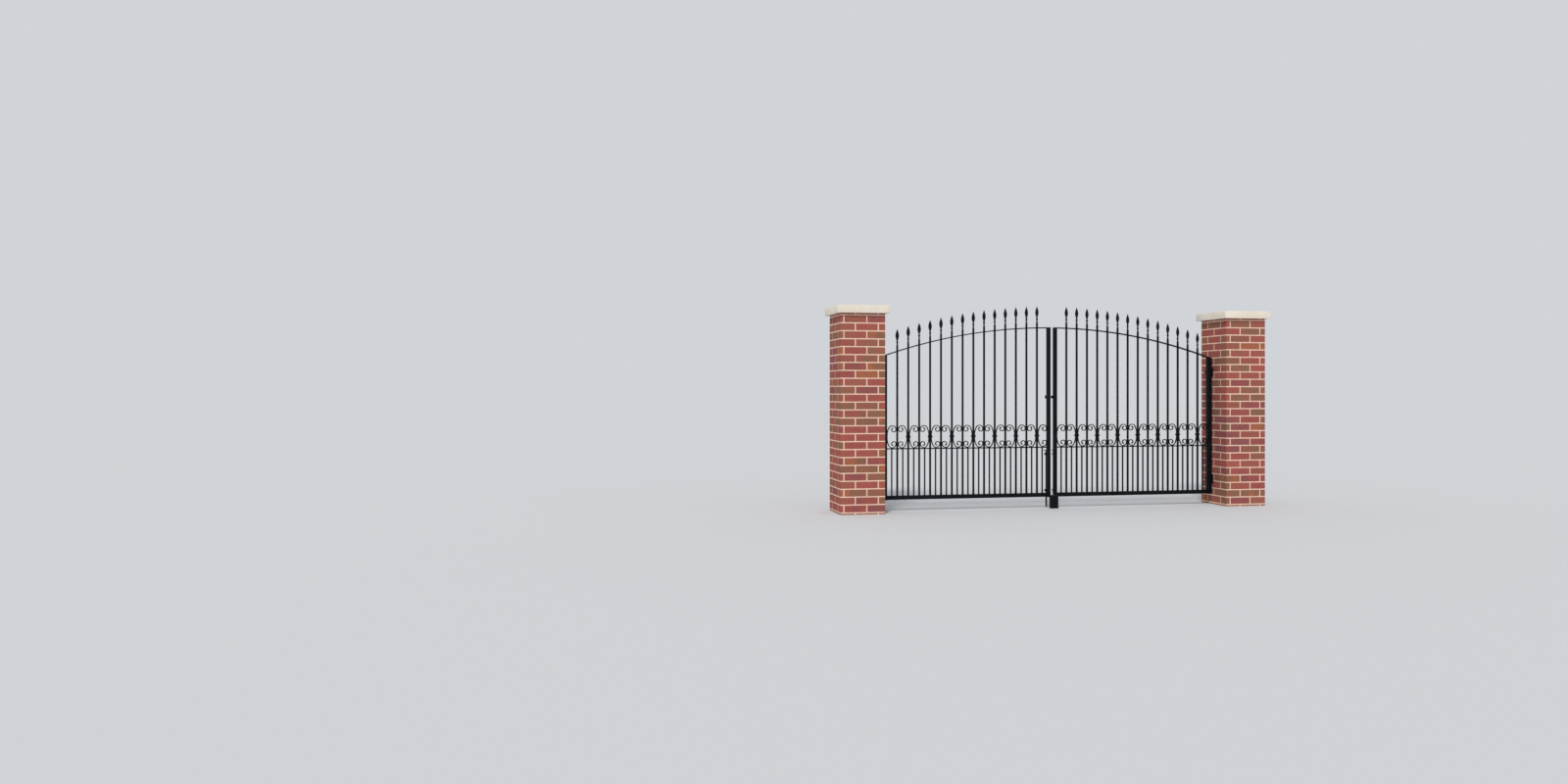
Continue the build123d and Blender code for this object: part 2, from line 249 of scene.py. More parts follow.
class Finish(Tree):
    """A procedural material on object coordinates."""

    def __init__(self, name):
        self.material = bpy.data.materials.new(name)
        self.material.use_nodes = True
        super().__init__(self.material.node_tree)
        self.shader = self.tree.nodes["Principled BSDF"]
        self.place = self.node("ShaderNodeTexCoord", output="Object")

    def mix(self, factor, first, second):
        """Blend two colours; a Mix node takes colours at sockets 6 and 7 and gives one at 2."""
        inputs = {0: factor, 6: first, 7: second}
        return self.node("ShaderNodeMix", {"data_type": "RGBA"}, inputs, output=2)

    def ramp(self, factor, stops):
        """The colour at one place of a row of colours that run into each other."""
        return self.node("ShaderNodeValToRGB", {"stops": stops}, {"Fac": factor})

    def stretched(self, scale):
        """Object coordinates stretched along the axes."""
        return self.node("ShaderNodeMapping", {}, {"Vector": self.place, "Scale": scale})

    def bump(self, height, distance, strength):
        """A surface normal that leans as if the height stood out by the distance."""
        inputs = {"Height": height, "Distance": distance, "Strength": strength}
        return self.node("ShaderNodeBump", {}, inputs)

    def attribute(self, name):
        """A value that the mesh carries under a name."""
        return self.node("ShaderNodeAttribute", {"attribute_name": name}, output="Fac")

    def up(self):
        """How far a surface faces up: 1 on top, -1 underneath."""
        normal = self.node("ShaderNodeNewGeometry", output="Normal")
        return self.node("ShaderNodeSeparateXYZ", {}, {0: normal}, output="Z")

    def set(self, **sockets):
        """Feed the shader's sockets, named with _ for a space."""
        for name, value in sockets.items():
            self.feed(self.shader.inputs[name.replace("_", " ")], value)
        return self.material


def rgb(red, green, blue):
    """A colour as it looks on screen, 0 to 255, as Blender's linear light."""
    parts = [part / 255 for part in (red, green, blue)]
    return [p / 12.92 if p <= 0.04045 else ((p + 0.055) / 1.055) ** 2.4 for p in parts] + [1.0]


def facing_brick():
    """Fired clay in many reds: each brick has its own tone, mottled, speckled and sanded."""
    finish = Finish("facing_brick")
    tone = finish.attribute("brick_tone")
    shade = finish.attribute("brick_shade")
    mottle = finish.noise(finish.stretched((1.0, 1.0, 0.6)), 8.0, 2.0)
    drift = (mottle - 0.5) * 0.80
    tones = [
        (0.00, rgb(142, 83, 80)),
        (0.16, rgb(158, 83, 77)),
        (0.34, rgb(166, 87, 76)),
        (0.54, rgb(160, 91, 77)),
        (0.68, rgb(151, 95, 76)),
        (0.82, rgb(140, 98, 76)),
        (0.93, rgb(143, 98, 73)),
        (1.00, rgb(170, 101, 71)),
    ]
    colour = finish.ramp(tone + drift, tones)
    dark = finish.mix(0.55, colour, rgb(70, 44, 44))
    colour = finish.mix(shade * 0.22, colour, dark)
    pale = finish.mix(0.35, colour, rgb(214, 170, 140))
    speck = finish.noise(finish.place, 420.0, 2.0, 0.7).above(0.58, 0.70)
    sand = finish.noise(finish.place, 900.0, 1.0).above(0.62, 0.72)
    smoke = finish.noise(finish.place, 26.0, 3.0, 0.6).above(0.45, 0.75)
    body = finish.mix(speck * 0.55, colour, dark)
    body = finish.mix(sand * 0.30, body, pale)
    body = finish.mix(smoke * 0.22 * shade, body, dark)
    crease = finish.noise(finish.stretched((1.0, 1.0, 3.0)), 90.0, 3.0, 0.6)
    grain = finish.noise(finish.place, 520.0, 3.0, 0.65)
    height = crease * 0.6 + grain * 0.4
    rough = 0.84 + grain * 0.12
    normal = finish.bump(height, 0.0015, 0.8)
    return finish.set(Base_Color=body, Roughness=rough, Normal=normal, Specular_IOR_Level=0.25)


def lime_mortar():
    """Pale and sandy, struck just behind the bricks' faces, and a little weathered."""
    finish = Finish("lime_mortar")
    mottle = finish.noise(finish.place, 11.0, 3.0)
    grain = finish.noise(finish.place, 700.0, 2.0, 0.7)
    colour = finish.mix(mottle.above(0.35, 0.7), rgb(245, 207, 184), rgb(233, 199, 173))
    colour = finish.mix(grain.above(0.55, 0.75) * 0.45, colour, rgb(176, 150, 124))
    normal = finish.bump(grain, 0.0008, 0.7)
    rough = 0.88 + grain * 0.1
    return finish.set(Base_Color=colour, Roughness=rough, Normal=normal, Specular_IOR_Level=0.2)


def cast_stone():
    """Cream cast stone: fine sand, air holes, and a grey bloom where rain lies and drips."""
    finish = Finish("cast_stone")
    mottle = finish.noise(finish.place, 5.0, 4.0, 0.6)
    grain = finish.noise(finish.place, 520.0, 2.0, 0.6)
    pits = finish.noise(finish.place, 260.0, 1.0, 0.3).above(0.70, 0.76)
    streak = finish.noise(finish.stretched((34.0, 34.0, 1.2)), 1.0, 3.0, 0.6)
    colour = finish.mix(mottle.above(0.35, 0.7), rgb(236, 226, 209), rgb(227, 215, 196))
    colour = finish.mix(grain.above(0.5, 0.8) * 0.4, colour, rgb(202, 189, 168))
    weather = finish.up().above(0.3, 0.9) * mottle.above(0.3, 0.75)
    colour = finish.mix(weather * 0.45, colour, rgb(185, 178, 164))
    colour = finish.mix(streak.above(0.55, 0.8) * 0.16, colour, rgb(176, 166, 148))
    colour = finish.mix(pits * 0.35, colour, rgb(150, 138, 120))
    height = grain * 0.5 - pits * 0.8
    normal = finish.bump(height, 0.0009, 0.6)
    rough = 0.80 + grain * 0.12
    return finish.set(Base_Color=colour, Roughness=rough, Normal=normal, Specular_IOR_Level=0.3)


def black_paint(name, roughness, hammered):
    """Satin black paint over iron: brushed out, dusty on top, thin on the hammered spots."""
    finish = Finish(name)
    wide = finish.noise(finish.place, 9.0, 3.0)
    brush = finish.noise(finish.stretched((260.0, 260.0, 14.0)), 1.0, 2.0, 0.6)
    peel = finish.noise(finish.place, 340.0, 2.0)
    dents = finish.noise(finish.place, 55.0, 1.0, 0.4)
    base = finish.mix(wide.above(0.35, 0.7), rgb(7, 10, 14), rgb(13, 16, 22))
    rubbed = finish.mix(dents.above(0.58, 0.75) * 0.5, base, rgb(30, 33, 40))
    dust = finish.up().above(0.25, 0.95) * wide.above(0.3, 0.65)
    colour = finish.mix(dust * 0.14, rubbed, rgb(112, 106, 96))
    rough = roughness + wide * 0.12 + peel * 0.10 + dust * 0.22 - dents.above(0.5, 0.8) * 0.12
    height = brush * 0.35 + peel * 0.30 + dents * hammered
    normal = finish.bump(height, 0.0012, 0.8)
    return finish.set(Base_Color=colour, Roughness=rough, Normal=normal, Specular_IOR_Level=0.1)


class Repeat(Tree):
    """A Geometry Nodes tree with named inputs, run on a mesh as a modifier and baked down."""

    def __init__(self, name, inputs):
        group = bpy.data.node_groups.new(name, "GeometryNodeTree")
        super().__init__(group)
        self.keys = {}
        group.interface.new_socket("Geometry", in_out="INPUT", socket_type="NodeSocketGeometry")
        for label, kind in inputs.items():
            made = group.interface.new_socket(label, in_out="INPUT", socket_type="NodeSocket" + kind)
            self.keys[label] = made.identifier
        group.interface.new_socket("Geometry", in_out="OUTPUT", socket_type="NodeSocketGeometry")

    def given(self, label):
        """The wire of one of the tree's own inputs."""
        return self.node("NodeGroupInput", output=label)

    def end(self, geometry, material):
        """Realize what was repeated and give it its finish."""
        whole = self.node("GeometryNodeRealizeInstances", {}, {"Geometry": geometry})
        inputs = {"Geometry": whole, "Material": material}
        painted = self.node("GeometryNodeSetMaterial", {}, inputs)
        self.node("NodeGroupOutput", {}, {"Geometry": painted})

    def run(self, name, mesh, **values):
        """Make a piece: the tree's result on this mesh, as plain faces."""
        piece = bpy.data.objects.new(name, mesh)
        bpy.context.scene.collection.objects.link(piece)
        modifier = piece.modifiers.new("repeat", "NODES")
        modifier.node_group = self.tree
        for label, value in values.items():
            modifier[self.keys[label]] = value
        graph = bpy.context.evaluated_depsgraph_get()
        result = bpy.data.meshes.new_from_object(piece.evaluated_get(graph))
        piece.modifiers.remove(modifier)
        piece.data = result
        return piece


def brick_courses():
    """Two courses laid again and again up a pier, and every brick's own tone and wear."""
    inputs = {
        "EndCourses": "Object", "Laid": "Int", "Rise": "Float", "Seed": "Int", "Wear": "Float",
        "Finish": "Material",
    }
    tree = Repeat("brick courses", inputs)
    rise = tree.node("ShaderNodeCombineXYZ", {}, {"Z": tree.given("Rise")})
    line = tree.node("GeometryNodeMeshLine", {}, {"Count": tree.given("Laid"), "Offset": rise})
    stacked = {"Points": line, "Instance": tree.given("Geometry")}
    laid = tree.node("GeometryNodeInstanceOnPoints", {}, stacked)
    laid = tree.node("GeometryNodeRealizeInstances", {}, {"Geometry": laid})
    foot_and_top = {"Object": tree.given("EndCourses")}
    ends = tree.node("GeometryNodeObjectInfo", {}, foot_and_top, output="Geometry")
    bricks = tree.node("GeometryNodeJoinGeometry", {}, {"Geometry": laid})
    # Join Geometry takes more than one link at its socket
    tree.feed(bricks.socket.node.inputs["Geometry"], ends)
    island = tree.node("GeometryNodeInputMeshIsland", output="Island Index")
    for number, label in enumerate(("brick_tone", "brick_shade", "brick_set")):
        draw = {"ID": island, "Seed": tree.given("Seed") + number}
        value = tree.node("FunctionNodeRandomValue", {"data_type": "FLOAT"}, draw, output=1)
        store = {"Geometry": bricks, "Name": label, "Value": value}
        bricks = tree.node("GeometryNodeStoreNamedAttribute", {"data_type": "FLOAT"}, store)
    place = tree.node("GeometryNodeInputPosition")
    normal = tree.node("GeometryNodeInputNormal")
    wobble = tree.noise(place, brick_wear_grain, 2.0)
    sunk = tree.node("GeometryNodeInputNamedAttribute", {}, {"Name": "brick_set"})
    # The rest of a brick's wear is even, and sets the whole brick back
    share = wobble * uneven_share + sunk * (1 - uneven_share)
    depth = share * tree.given("Wear") * -1.0
    moved = {"Geometry": bricks, "Offset": tree.scaled(normal, depth)}
    tree.end(tree.node("GeometryNodeSetPosition", {}, moved), tree.given("Finish"))
    return tree


def rough_block():
    """A block whose faces are cut fine and worn back by a slow noise."""
    inputs = {"Cuts": "Int", "Wear": "Float", "Grain": "Float", "Finish": "Material"}
    tree = Repeat("rough block", inputs)
    cut = {"Mesh": tree.given("Geometry"), "Level": tree.given("Cuts")}
    fine = tree.node("GeometryNodeSubdivideMesh", {}, cut)
    place = tree.node("GeometryNodeInputPosition")
    normal = tree.node("GeometryNodeInputNormal")
    depth = tree.noise(place, tree.given("Grain"), 3.0) * tree.given("Wear") * -1.0
    moved = {"Geometry": fine, "Offset": tree.scaled(normal, depth)}
    tree.end(tree.node("GeometryNodeSetPosition", {}, moved), tree.given("Finish"))
    return tree


def flat_bar():
    """A bar of rounded flat section bent along each line of the mesh, as thick as swell says."""
    inputs = {"Width": "Float", "Depth": "Float", "Edge": "Float", "Finish": "Material"}
    tree = Repeat("flat bar", inputs)
    place = tree.node("GeometryNodeInputPosition")
    store = {"Geometry": tree.given("Geometry"), "Name": "middle", "Value": place}
    line = tree.node("GeometryNodeStoreNamedAttribute", {"data_type": "FLOAT_VECTOR"}, store)
    line = tree.node("GeometryNodeMeshToCurve", {}, {"Mesh": line})
    size = {"Width": tree.given("Depth"), "Height": tree.given("Width")}
    section = tree.node("GeometryNodeCurvePrimitiveQuadrilateral", {}, size)
    corners = {
        "Curve": section, "Radius": tree.given("Edge"), "Count": scroll_edge_steps, "Limit Radius": True,
    }
    section = tree.node("GeometryNodeFilletCurve", {"mode": "POLY"}, corners)
    bent = {"Curve": line, "Profile Curve": section, "Fill Caps": True}
    bar = tree.node("GeometryNodeCurveToMesh", {}, bent)
    # The section grows or shrinks in the scroll's own plane only, so the bar keeps its depth
    swell = tree.node("GeometryNodeInputNamedAttribute", {}, {"Name": "swell"})
    growth = tree.node("ShaderNodeCombineXYZ", {}, {"X": swell, "Y": 1.0, "Z": swell})
    vector = {"data_type": "FLOAT_VECTOR"}
    middle = tree.node("GeometryNodeInputNamedAttribute", vector, {"Name": "middle"})
    place = tree.node("GeometryNodeInputPosition")
    out = tree.node("ShaderNodeVectorMath", {"operation": "SUBTRACT"}, {0: place, 1: middle})
    grown = {0: out, 1: growth, 2: middle}
    place = tree.node("ShaderNodeVectorMath", {"operation": "MULTIPLY_ADD"}, grown)
    moved = {"Geometry": bar, "Position": place}
    tree.end(tree.node("GeometryNodeSetPosition", {}, moved), tree.given("Finish"))
    return tree


def weld_beads():
    """A rippled bead of weld along each line of the mesh."""
    inputs = {"Radius": "Float", "Step": "Float", "Ripple": "Float", "Finish": "Material"}
    tree = Repeat("weld beads", inputs)
    line = tree.node("GeometryNodeMeshToCurve", {}, {"Mesh": tree.given("Geometry")})
    stepped = {"Curve": line, "Length": tree.given("Step")}
    line = tree.node("GeometryNodeResampleCurve", {"mode": "LENGTH"}, stepped)
    ring = {"Resolution": bead_sides, "Radius": tree.given("Radius")}
    section = tree.node("GeometryNodeCurvePrimitiveCircle", {}, ring)
    drawn = {"Curve": line, "Profile Curve": section, "Fill Caps": True}
    bead = tree.node("GeometryNodeCurveToMesh", {}, drawn)
    place = tree.node("GeometryNodeInputPosition")
    normal = tree.node("GeometryNodeInputNormal")
    swell = (tree.noise(place, bead_grain, 2.0) - 0.5) * tree.given("Ripple")
    moved = {"Geometry": bead, "Offset": tree.scaled(normal, swell)}
    tree.end(tree.node("GeometryNodeSetPosition", {}, moved), tree.given("Finish"))
    return tree


def set_out():
    """The same small part at each point of the mesh, spun about X by up to the given turn."""
    inputs = {"Part": "Object", "Spin": "Float", "Seed": "Int", "Finish": "Material"}
    tree = Repeat("set out", inputs)
    part = tree.node("GeometryNodeObjectInfo", {}, {"Object": tree.given("Part")}, output="Geometry")
    # Socket 3 of Random Value is the greatest number that it draws
    draw = {3: tree.given("Spin"), "Seed": tree.given("Seed")}
    turn = tree.node("FunctionNodeRandomValue", {"data_type": "FLOAT"}, draw, output=1)
    spin = tree.node("ShaderNodeCombineXYZ", {}, {"X": turn})
    copies = {"Points": tree.given("Geometry"), "Instance": part, "Rotation": spin}
    tree.end(tree.node("GeometryNodeInstanceOnPoints", {}, copies), tree.given("Finish"))
    return tree


def body_of(node):
    """The body that a node belongs to."""
    bodies = frame["record"]["behaviour"]["bodies"]
    return next(name for name, nodes in bodies.items() if node in nodes)


def slot_of(node):
    """The material slot that the record gives a node."""
    subparts = frame["record"]["subparts"]
    return next(part["material_slot"] for part in subparts if part["node"] == node)


def smoothed(mesh):
    """Smooth shading, broken at the sharp edges."""
    mesh.shade_smooth()
    mesh.set_sharp_from_angle(angle=math.radians(edge_angle))
    return mesh


def build_softened(node, edge):
    """A node's own shape with its sharp edges rounded over, in the node's place."""
    shape = bmesh.new()
    shape.from_mesh(frame["nodes"][node].data)
    bmesh.ops.remove_doubles(shape, verts=shape.verts[:], dist=merge_distance)
    flat = math.radians(flat_angle)
    bmesh.ops.dissolve_limit(shape, angle_limit=flat, verts=shape.verts[:], edges=shape.edges[:])
    limit = math.radians(edge_angle)
    sharp = [e for e in shape.edges if e.is_manifold and e.calc_face_angle() > limit]
    rounding = {"offset": edge, "segments": edge_steps, "profile": edge_fullness}
    bmesh.ops.bevel(shape, geom=sharp, affect="EDGES", clamp_overlap=True, **rounding)
    piece = bpy.data.objects.new(f"{node}_finished", smoothed(mesh_of(shape, node)))
    bpy.context.scene.collection.objects.link(piece)
    piece.data.materials.append(finishes[finish_by_slot[slot_of(node)]])
    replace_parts(dressed(piece, body_of(node)), node)


def dressed(piece, body):
    """Let a piece ride its body."""
    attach(piece, body)
    return piece


def mesh_of(shape, name):
    """Turn a bmesh into a mesh."""
    mesh = bpy.data.meshes.new(name)
    shape.to_mesh(mesh)
    shape.free()
    return mesh


def add_box(shape, low, high):
    """Add a plain box between two corners; its sides get rounded or worn later."""
    size = Vector(high) - Vector(low)
    middle = (Vector(high) + Vector(low)) / 2
    place = Matrix.Translation(middle) @ Matrix.Diagonal((*size, 1.0))
    bmesh.ops.create_cube(shape, size=1.0, matrix=place)


def joints_between(low, high, start):
    """Middles of the upright joints that one course has between two faces."""
    count = math.ceil((low + smallest_cut - start) / brick_pitch)
    places = []
    while start + count * brick_pitch < high - smallest_cut:
        places.append(start + count * brick_pitch)
        count += 1
    return places


def cells(low, high, middles):
    """The stretches of brick between two faces and the joints in between."""
    starts = [low] + [middle + joint / 2 for middle in middles]
    ends = [middle - joint / 2 for middle in middles] + [high]
    return list(zip(starts, ends))


def add_course(shape, low, high, start, number):
    """Add one course of a pier's bricks; joints of odd and even courses stand half a pitch apart."""
    half = brick_pitch / 2
    across = cells(low.x, high.x, joints_between(low.x, high.x, start + half * (number % 2)))
    through = cells(low.y, high.y, joints_between(low.y, high.y, high.y - half * ((number + 1) % 2)))
    foot = first_bed + joint / 2 + number * course_rise
    for place_x, (left, right) in enumerate(across):
        for place_y, (front, back) in enumerate(through):
            inside_x = 0 < place_x < len(across) - 1
            inside_y = 0 < place_y < len(through) - 1
            if not (inside_x and inside_y):
                top = min(foot + brick_height, high.z)
                add_box(shape, (left, front, max(foot, low.z)), (right, back, top))


def rounded(shape):
    """Round every edge of the bricks a little."""
    rounding = {"offset": brick_edge, "segments": brick_edge_steps, "profile": brick_edge_fullness}
    bmesh.ops.bevel(shape, geom=shape.edges[:], affect="EDGES", **rounding)
    return shape


def build_pier(side, courses_tree, block_tree, seed):
    """Bricks and mortar in place of a plain pier."""
    node = f"{side}_pier"
    low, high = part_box(node)
    start = low.x + first_upright[side]
    full = math.floor((high.z - first_bed) / course_rise)
    pair = bmesh.new()
    for number in (0, 1):
        add_course(pair, low, high, start, number)
    ends = bmesh.new()
    # The cut course at the foot, and the courses left over above the last whole pair
    for number in [-1] + list(range(full - full % 2, full + 1)):
        add_course(ends, low, high, start, number)
    end_courses = bpy.data.objects.new(f"{node}_end_courses", mesh_of(rounded(ends), "end_courses"))
    values = {
        "EndCourses": end_courses, "Laid": full // 2, "Rise": 2 * course_rise, "Seed": seed,
        "Wear": brick_wear, "Finish": finishes["brick"],
    }
    bricks = courses_tree.run(f"{node}_bricks", mesh_of(rounded(pair), "courses"), **values)
    bpy.data.objects.remove(end_courses)
    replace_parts(dressed(bricks, "piers"), node)

    core = bmesh.new()
    recess = Vector((joint_recess, joint_recess, 0))
    add_box(core, low + recess, high - recess)
    upright = [edge for edge in core.edges if abs(edge.verts[0].co.z - edge.verts[1].co.z) > joint]
    bmesh.ops.subdivide_edges(core, edges=upright, cuts=mortar_lifts, use_grid_fill=True)
    values = {
        "Cuts": mortar_cuts, "Wear": mortar_wear, "Grain": mortar_grain, "Finish": finishes["mortar"],
    }
    mortar = block_tree.run(f"{node}_mortar", mesh_of(core, "mortar"), **values)
    dressed(mortar, "piers")


def uprights(node):
    """Left and right side of each separate bar of a node."""
    vertices = frame["nodes"][node].data.vertices
    sides = sorted({round(vertex.co.x, side_digits) for vertex in vertices})
    return list(zip(sides[::2], sides[1::2]))


def add_loop(shape, corners):
    """Add a closed line through some corners."""
    points = [shape.verts.new(corner) for corner in corners]
    for first, second in zip(points, points[1:] + points[:1]):
        shape.edges.new((first, second))


def add_line(shape, start, end):
    """Add a straight line between two places."""
    shape.edges.new((shape.verts.new(start), shape.verts.new(end)))


def leaf_shape(along):
    """Half width of a blade from its neck, 0, to its tip, 1, as a share of the widest."""
    if along < blade_widest:
        rise = math.sin(math.pi / 2 * along / blade_widest) ** blade_shoulder
        return blade_neck_share + (1 - blade_neck_share) * rise
    return 1 - ((along - blade_widest) / (1 - blade_widest)) ** blade_point


def head_section(height):
    """Half width, half depth and roundness of a head's section: 2 is a circle, 1 a diamond."""
    if height > blade_foot:
        along = (height - blade_foot) / (head_height - blade_foot)
        share = max(leaf_shape(along), blade_tip_share)
        deep = blade_deep * share
        if along < blade_widest:
            fullness = along / blade_widest
            deep = neck_half * (1 - fullness) + blade_deep * fullness
        return blade_half * share, deep, circle_power - ridge_sharpness * min(along / ridge_run, 1.0)
    narrowing = min(height / socket_height, 1.0)
    half = socket_half + (neck_half - socket_half) * narrowing * narrowing * (3 - 2 * narrowing)
    from_ball = (height - ball_height) / ball_rise
    if abs(from_ball) < 1:
        half = max(half, ball_half * math.sqrt(1 - from_ball * from_ball))
    return half, half, circle_power


def add_skin(shape, rings):
    """Add a closed skin over rings of points that run anticlockwise seen from the last ring."""
    laid = [[shape.verts.new(point) for point in ring] for ring in rings]
    for lower, upper in zip(laid, laid[1:]):
        for number in range(len(lower)):
            after = (number + 1) % len(lower)
            shape.faces.new((lower[number], lower[after], upper[after], upper[number]))
    shape.faces.new(laid[0][::-1])
    shape.faces.new(laid[-1])


def head_mesh():
    """One cast spear head that stands on the origin."""
    shape = bmesh.new()
    rings = []
    for number in range(head_rings + 1):
        height = head_height * number / head_rings
        half_width, half_depth, roundness = head_section(height)
        ring = []
        for side in range(head_sides):
            angle = math.tau * side / head_sides
            across, through = math.cos(angle), math.sin(angle)
            x = math.copysign(abs(across) ** (2 / roundness), across) * half_width
            y = math.copysign(abs(through) ** (2 / roundness), through) * half_depth
            ring.append((x, y, height))
        rings.append(ring)
    add_skin(shape, rings)
    return mesh_of(shape, "spear_head")


def build_heads(side, tree):
    """A spear head on every bar of a leaf."""
    points = bmesh.new()
    bars = frame["nodes"][f"{side}_spear_bars"].data.vertices
    for left, right in uprights(f"{side}_spear_bars"):
        top = max(v.co.z for v in bars if left - side_slack < v.co.x < right + side_slack)
        points.verts.new(((left + right) / 2, 0, top))
    head = bpy.data.objects.new("spear_head", head_mesh())
    values = {"Part": head, "Spin": 0.0, "Seed": 0, "Finish": finishes["iron"]}
    heads = tree.run(f"{side}_cast_heads", mesh_of(points, "head_points"), **values)
    bpy.data.objects.remove(head)
    smoothed(heads.data)
    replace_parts(dressed(heads, f"{side}_leaf"), f"{side}_spear_heads")


def arc(x, z, radius, start, end):
    """Points round a hub from one angle to another, in degrees."""
    sweep = abs(end - start)
    steps = math.ceil(max(sweep / scroll_step, math.radians(sweep) * radius / scroll_chord))
    angles = [math.radians(start + (end - start) * step / steps) for step in range(steps + 1)]
    return [(x + radius * math.cos(angle), z + radius * math.sin(angle)) for angle in angles]


def scroll_line(bay, height):
    """Middle line of a scroll from its lower eye to its upper eye; its back stands at x = 0."""
    back = scroll_seat + scroll_width / 2
    reach = bay - back
    crown = (height - scroll_width) / 2
    # The bowed back and the arch meet where the bar leans by scroll_lean
    sine, cosine = math.sin(math.radians(scroll_lean)), math.cos(math.radians(scroll_lean))
    wide, tall = reach - back, crown - scroll_straight
    arch = (tall * (1 - cosine) - wide * sine) / ((1 - sine) * (1 - cosine) - (1 + cosine) * sine)
    bow = (wide - arch * (1 + cosine)) / (1 - cosine)
    hub = crown - arch
    upper = arc(back + bow, scroll_straight, bow, 180, 180 - scroll_lean)
    upper += arc(reach - arch, hub, arch, 180 - scroll_lean, 0)[1:]
    upper += arc(reach - scroll_curl, hub, scroll_curl, 0, -180)[1:]
    eye_x = reach - 2 * scroll_curl + scroll_eye
    upper += arc(eye_x, hub, scroll_eye, -180, -180 - scroll_eye_turn)[1:]
    return [(x, -z) for x, z in upper[::-1]] + upper, hub


def build_beads(side, name, lines, bead_tree):
    """Weld beads of one size along some lines of a leaf."""
    values = {
        "Radius": bead_radius, "Step": bead_step, "Ripple": bead_ripple, "Finish": finishes["iron"],
    }
    dressed(bead_tree.run(name, lines, **values), f"{side}_leaf")


def build_scrolls(side, bar_tree, bead_tree):
    """The scrolls of a leaf, bent from flat bar, and the welds that hold their curls."""
    low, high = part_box(f"{side}_scrolls")
    middle = (low.z + high.z) / 2
    bars = uprights(f"{side}_spear_bars")
    start = low.x - scroll_seat
    end = high.x + scroll_seat
    bays = zip([start] + [right for left, right in bars], [left for left, right in bars] + [end])
    lines = bmesh.new()
    swell = lines.verts.layers.float.new("swell")
    tacks = bmesh.new()
    for number, (left, right) in enumerate(bays):
        back, way = (left, 1) if number % 2 == 0 else (right, -1)
        path, hub = scroll_line(right - left, high.z - low.z)
        points = [lines.verts.new((back + way * x, 0, middle + z)) for x, z in path]
        tips = (points[0].co.copy(), points[-1].co.copy())
        for point in points:
            near = min((point.co - tip).length for tip in tips) / snub_half - 1
            snub = math.sqrt(max(0.0, 1 - near * near)) * snub_half / (scroll_width / 2)
            point[swell] = max(snub, 1.0 if near > 0 else snub_tip_share)
        for first, second in zip(points, points[1:]):
            lines.edges.new((first, second))
        touch = back + way * (right - left)
        for z in (middle - hub, middle + hub):
            for y in (-scroll_depth / 2, scroll_depth / 2):
                add_line(tacks, (touch, y, z - tack_length / 2), (touch, y, z + tack_length / 2))
    values = {
        "Width": scroll_width, "Depth": scroll_depth, "Edge": scroll_edge, "Finish": finishes["iron"],
    }
    scrolls = bar_tree.run(f"{side}_bent_scrolls", mesh_of(lines, "scroll_lines"), **values)
    smoothed(scrolls.data)
    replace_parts(dressed(scrolls, f"{side}_leaf"), f"{side}_scrolls")
    build_beads(side, f"{side}_scroll_welds", mesh_of(tacks, "tack_lines"), bead_tree)


def build_welds(side, bead_tree):
    """Beads at the feet of the bars, at the rails' ends, and round what is fixed to the stiles."""
    lines = bmesh.new()
    rail_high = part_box(f"{side}_bottom_rail")[1]
    for node in (f"{side}_spear_bars", f"{side}_dog_bars"):
        for left, right in uprights(node):
            half = (right - left) / 2
            ring = [(left, -half), (right, -half), (right, half), (left, half)]
            add_loop(lines, [(x, y, rail_high.z) for x, y in ring])
    for node in (f"{side}_bottom_rail", f"{side}_mid_rail"):
        low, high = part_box(node)
        reach = high.y - bead_radius
        for x in (low.x, high.x):
            for z in (low.z, high.z):
                add_line(lines, (x, -reach, z), (x, reach, z))
    fixed = [f"{side}_drop_bolt_guides", f"{side}_lower_hinge_eye", f"{side}_upper_hinge_eye"]
    fixed.append("latch_keep" if side == "left" else "latch_guide")
    back = rail_high.y
    for node in fixed:
        vertices = frame["nodes"][node].data.vertices
        for group in parted([v.co for v in vertices if abs(v.co.y - back) < back_slack]):
            xs = [point.x for point in group]
            zs = [point.z for point in group]
            box = [(min(xs), min(zs)), (max(xs), min(zs)), (max(xs), max(zs)), (min(xs), max(zs))]
            add_loop(lines, [(x, back, z) for x, z in box])
    build_beads(side, f"{side}_leaf_welds", mesh_of(lines, "weld_lines"), bead_tree)


def parted(points):
    """Points in groups that lie over fitting_gap apart in height."""
    groups = []
    for point in sorted(points, key=lambda p: p.z):
        if groups and point.z - groups[-1][-1].z < fitting_gap:
            groups[-1].append(point)
        else:
            groups.append([point])
    return groups


def anchor_mesh(way):
    """A hexagon bolt head on its washer, standing along X; way is 1 or -1."""
    shape = bmesh.new()
    washer = [(0.0, anchor_washer), (washer_thickness, anchor_washer)]
    head = [
        (washer_thickness, anchor_head),
        (anchor_height, anchor_head),
        (anchor_height + anchor_chamfer, anchor_head * anchor_crown),
    ]
    for sides, profile in ((washer_sides, washer), (anchor_head_sides, head)):
        angles = [math.tau * side / sides for side in range(sides)]
        rings = [
            [(way * along, radius * math.cos(angle), way * radius * math.sin(angle)) for angle in angles]
            for along, radius in profile
        ]
        add_skin(shape, rings)
    return mesh_of(shape, "anchor")


